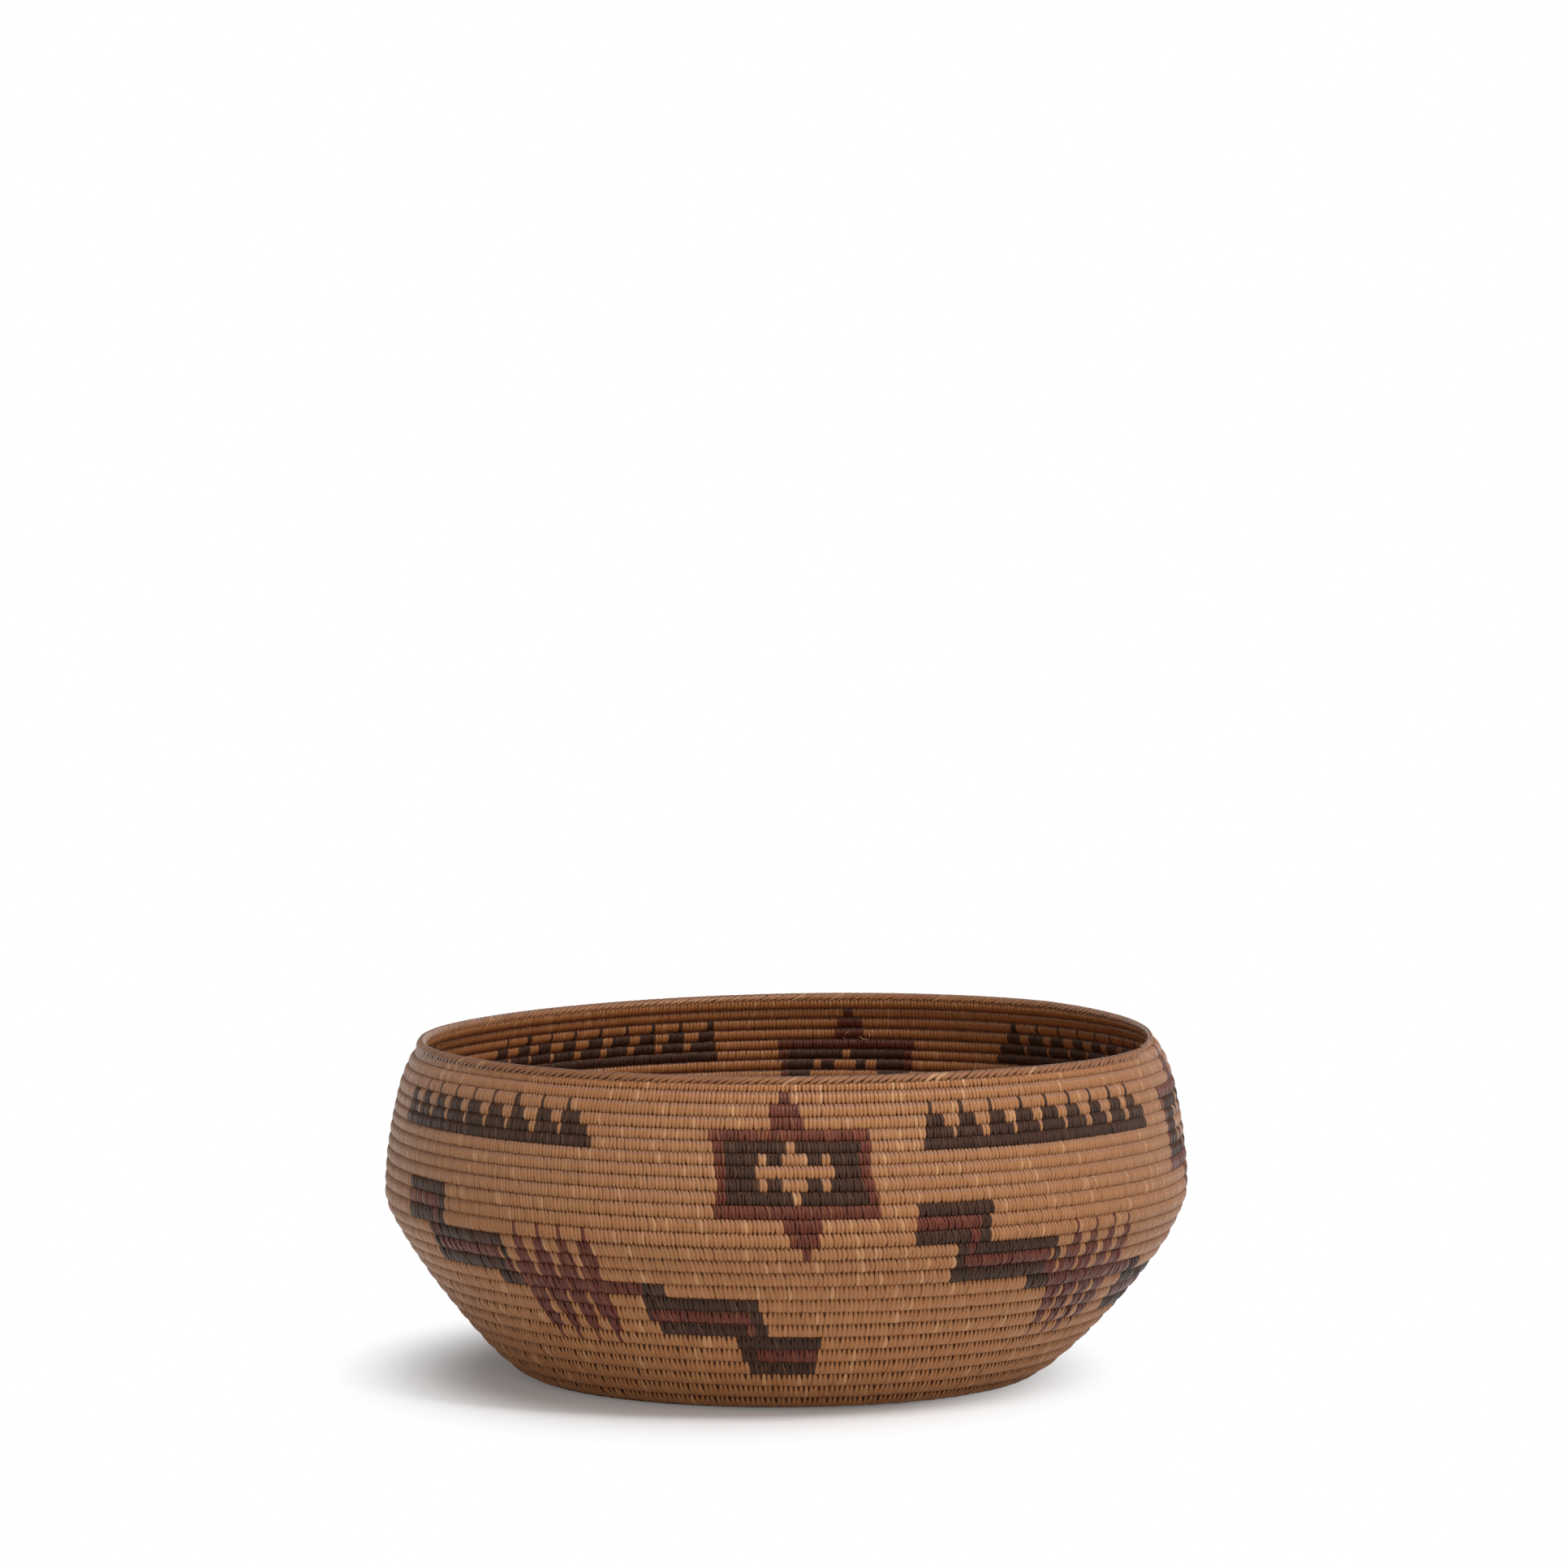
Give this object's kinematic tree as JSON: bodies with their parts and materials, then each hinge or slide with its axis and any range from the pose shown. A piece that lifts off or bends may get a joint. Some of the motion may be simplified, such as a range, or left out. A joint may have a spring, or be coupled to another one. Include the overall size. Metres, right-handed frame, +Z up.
{
  "type": "coiled basket",
  "caption": "Open round bowl basket of one spiral coil sewn row on row, with stepped figures in dyed strands and an overcast braided rim.",
  "frame": {"origin": "on the floor, in the middle of the basket's outline", "axes": "+Z up out of the mouth; -Y towards the side that the picture shows; +X to its right"},
  "size_m": [0.3042, 0.3043, 0.1285],
  "materials": {
    "natural_strand": "split and scraped shoots, tan, satin",
    "aged_strand": "split shoots darkened by handling, satin",
    "braid_strand": "brown overcast strands, satin"
  },
  "bodies": {
    "root": {"start_knot": "natural_strand", "base_coil": "natural_strand", "lower_wall_coil": "natural_strand", "belly_coil": "natural_strand", "shoulder_coil": "natural_strand", "rim_coil": "aged_strand", "rim_braid": "braid_strand"}
  },
  "joints": []
}
